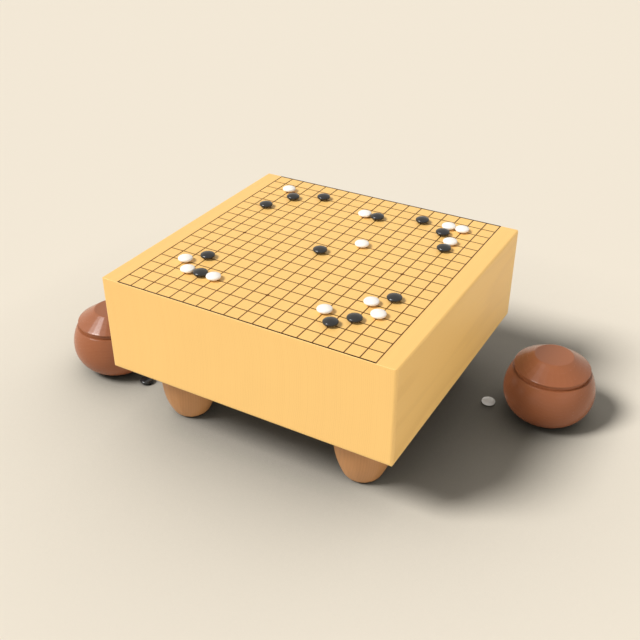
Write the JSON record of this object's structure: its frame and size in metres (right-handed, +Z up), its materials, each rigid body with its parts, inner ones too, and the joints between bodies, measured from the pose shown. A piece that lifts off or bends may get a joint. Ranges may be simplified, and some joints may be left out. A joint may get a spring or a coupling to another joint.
{
  "type": "go board",
  "caption": "Thick wooden floor board for go on turned bulb legs, with ruled lines, lens-shaped black and white stones in play and a lidded round bowl of stones on either side.",
  "frame": {"origin": "on the floor, under the middle of the board", "axes": "+Z up, +X to the near player's right along the board's front face, -Y towards the near player"},
  "size_m": [0.7982, 0.4304, 0.2573],
  "materials": {
    "board_wood": "planed and waxed",
    "leg_wood": "waxed",
    "line_lacquer": "black-brown lacquer",
    "bowl_wood": "polished",
    "black_slate": "oiled",
    "white_shell": "polished"
  },
  "bodies": {
    "board": {"board_block": "board_wood", "grid_lines": "line_lacquer", "star_points": "line_lacquer", "leg_front_left": "leg_wood", "leg_front_right": "leg_wood", "leg_back_left": "leg_wood", "leg_back_right": "leg_wood"},
    "black_bowl": {"black_bowl": "bowl_wood", "black_bowl_stones": "black_slate"},
    "black_bowl_lid": {"black_bowl_lid": "bowl_wood"},
    "white_bowl": {"white_bowl": "bowl_wood", "white_bowl_stones": "white_shell"},
    "white_bowl_lid": {"white_bowl_lid": "bowl_wood"},
    "black_stone_loose": {"black_stone_loose": "black_slate"},
    "white_stone_loose": {"white_stone_loose": "white_shell"},
    "black_stone_d16": {"black_stone_d16": "black_slate"},
    "black_stone_f17": {"black_stone_f17": "black_slate"},
    "black_stone_c14": {"black_stone_c14": "black_slate"},
    "black_stone_l16": {"black_stone_l16": "black_slate"},
    "black_stone_o17": {"black_stone_o17": "black_slate"},
    "black_stone_q16": {"black_stone_q16": "black_slate"},
    "black_stone_r14": {"black_stone_r14": "black_slate"},
    "black_stone_k10": {"black_stone_k10": "black_slate"},
    "black_stone_d6": {"black_stone_d6": "black_slate"},
    "black_stone_e4": {"black_stone_e4": "black_slate"},
    "black_stone_p3": {"black_stone_p3": "black_slate"},
    "black_stone_q4": {"black_stone_q4": "black_slate"},
    "black_stone_r7": {"black_stone_r7": "black_slate"},
    "white_stone_c17": {"white_stone_c17": "white_shell"},
    "white_stone_k16": {"white_stone_k16": "white_shell"},
    "white_stone_m12": {"white_stone_m12": "white_shell"},
    "white_stone_q17": {"white_stone_q17": "white_shell"},
    "white_stone_r17": {"white_stone_r17": "white_shell"},
    "white_stone_r15": {"white_stone_r15": "white_shell"},
    "white_stone_c5": {"white_stone_c5": "white_shell"},
    "white_stone_d4": {"white_stone_d4": "white_shell"},
    "white_stone_f4": {"white_stone_f4": "white_shell"},
    "white_stone_o4": {"white_stone_o4": "white_shell"},
    "white_stone_q6": {"white_stone_q6": "white_shell"},
    "white_stone_r5": {"white_stone_r5": "white_shell"}
  },
  "joints": [
    {"name": "black_bowl_lift", "type": "slide", "parent": "board", "child": "black_bowl", "axis": [0, 0, 1], "range_m": [0, 0.12]},
    {"name": "black_bowl_lid_lift", "type": "slide", "parent": "black_bowl", "child": "black_bowl_lid", "axis": [0, 0, 1], "range_m": [0, 0.08]},
    {"name": "white_bowl_lift", "type": "slide", "parent": "board", "child": "white_bowl", "axis": [0, 0, 1], "range_m": [0, 0.12]},
    {"name": "white_bowl_lid_lift", "type": "slide", "parent": "white_bowl", "child": "white_bowl_lid", "axis": [0, 0, 1], "range_m": [0, 0.08]},
    {"name": "black_stone_loose_lift", "type": "slide", "parent": "board", "child": "black_stone_loose", "axis": [0, 0, 1], "range_m": [0, 0.06]},
    {"name": "white_stone_loose_lift", "type": "slide", "parent": "board", "child": "white_stone_loose", "axis": [0, 0, 1], "range_m": [0, 0.06]},
    {"name": "black_stone_d16_lift", "type": "slide", "parent": "board", "child": "black_stone_d16", "axis": [0, 0, 1], "range_m": [0, 0.06]},
    {"name": "black_stone_f17_lift", "type": "slide", "parent": "board", "child": "black_stone_f17", "axis": [0, 0, 1], "range_m": [0, 0.06]},
    {"name": "black_stone_c14_lift", "type": "slide", "parent": "board", "child": "black_stone_c14", "axis": [0, 0, 1], "range_m": [0, 0.06]},
    {"name": "black_stone_l16_lift", "type": "slide", "parent": "board", "child": "black_stone_l16", "axis": [0, 0, 1], "range_m": [0, 0.06]},
    {"name": "black_stone_o17_lift", "type": "slide", "parent": "board", "child": "black_stone_o17", "axis": [0, 0, 1], "range_m": [0, 0.06]},
    {"name": "black_stone_q16_lift", "type": "slide", "parent": "board", "child": "black_stone_q16", "axis": [0, 0, 1], "range_m": [0, 0.06]},
    {"name": "black_stone_r14_lift", "type": "slide", "parent": "board", "child": "black_stone_r14", "axis": [0, 0, 1], "range_m": [0, 0.06]},
    {"name": "black_stone_k10_lift", "type": "slide", "parent": "board", "child": "black_stone_k10", "axis": [0, 0, 1], "range_m": [0, 0.06]},
    {"name": "black_stone_d6_lift", "type": "slide", "parent": "board", "child": "black_stone_d6", "axis": [0, 0, 1], "range_m": [0, 0.06]},
    {"name": "black_stone_e4_lift", "type": "slide", "parent": "board", "child": "black_stone_e4", "axis": [0, 0, 1], "range_m": [0, 0.06]},
    {"name": "black_stone_p3_lift", "type": "slide", "parent": "board", "child": "black_stone_p3", "axis": [0, 0, 1], "range_m": [0, 0.06]},
    {"name": "black_stone_q4_lift", "type": "slide", "parent": "board", "child": "black_stone_q4", "axis": [0, 0, 1], "range_m": [0, 0.06]},
    {"name": "black_stone_r7_lift", "type": "slide", "parent": "board", "child": "black_stone_r7", "axis": [0, 0, 1], "range_m": [0, 0.06]},
    {"name": "white_stone_c17_lift", "type": "slide", "parent": "board", "child": "white_stone_c17", "axis": [0, 0, 1], "range_m": [0, 0.06]},
    {"name": "white_stone_k16_lift", "type": "slide", "parent": "board", "child": "white_stone_k16", "axis": [0, 0, 1], "range_m": [0, 0.06]},
    {"name": "white_stone_m12_lift", "type": "slide", "parent": "board", "child": "white_stone_m12", "axis": [0, 0, 1], "range_m": [0, 0.06]},
    {"name": "white_stone_q17_lift", "type": "slide", "parent": "board", "child": "white_stone_q17", "axis": [0, 0, 1], "range_m": [0, 0.06]},
    {"name": "white_stone_r17_lift", "type": "slide", "parent": "board", "child": "white_stone_r17", "axis": [0, 0, 1], "range_m": [0, 0.06]},
    {"name": "white_stone_r15_lift", "type": "slide", "parent": "board", "child": "white_stone_r15", "axis": [0, 0, 1], "range_m": [0, 0.06]},
    {"name": "white_stone_c5_lift", "type": "slide", "parent": "board", "child": "white_stone_c5", "axis": [0, 0, 1], "range_m": [0, 0.06]},
    {"name": "white_stone_d4_lift", "type": "slide", "parent": "board", "child": "white_stone_d4", "axis": [0, 0, 1], "range_m": [0, 0.06]},
    {"name": "white_stone_f4_lift", "type": "slide", "parent": "board", "child": "white_stone_f4", "axis": [0, 0, 1], "range_m": [0, 0.06]},
    {"name": "white_stone_o4_lift", "type": "slide", "parent": "board", "child": "white_stone_o4", "axis": [0, 0, 1], "range_m": [0, 0.06]},
    {"name": "white_stone_q6_lift", "type": "slide", "parent": "board", "child": "white_stone_q6", "axis": [0, 0, 1], "range_m": [0, 0.06]},
    {"name": "white_stone_r5_lift", "type": "slide", "parent": "board", "child": "white_stone_r5", "axis": [0, 0, 1], "range_m": [0, 0.06]}
  ]
}
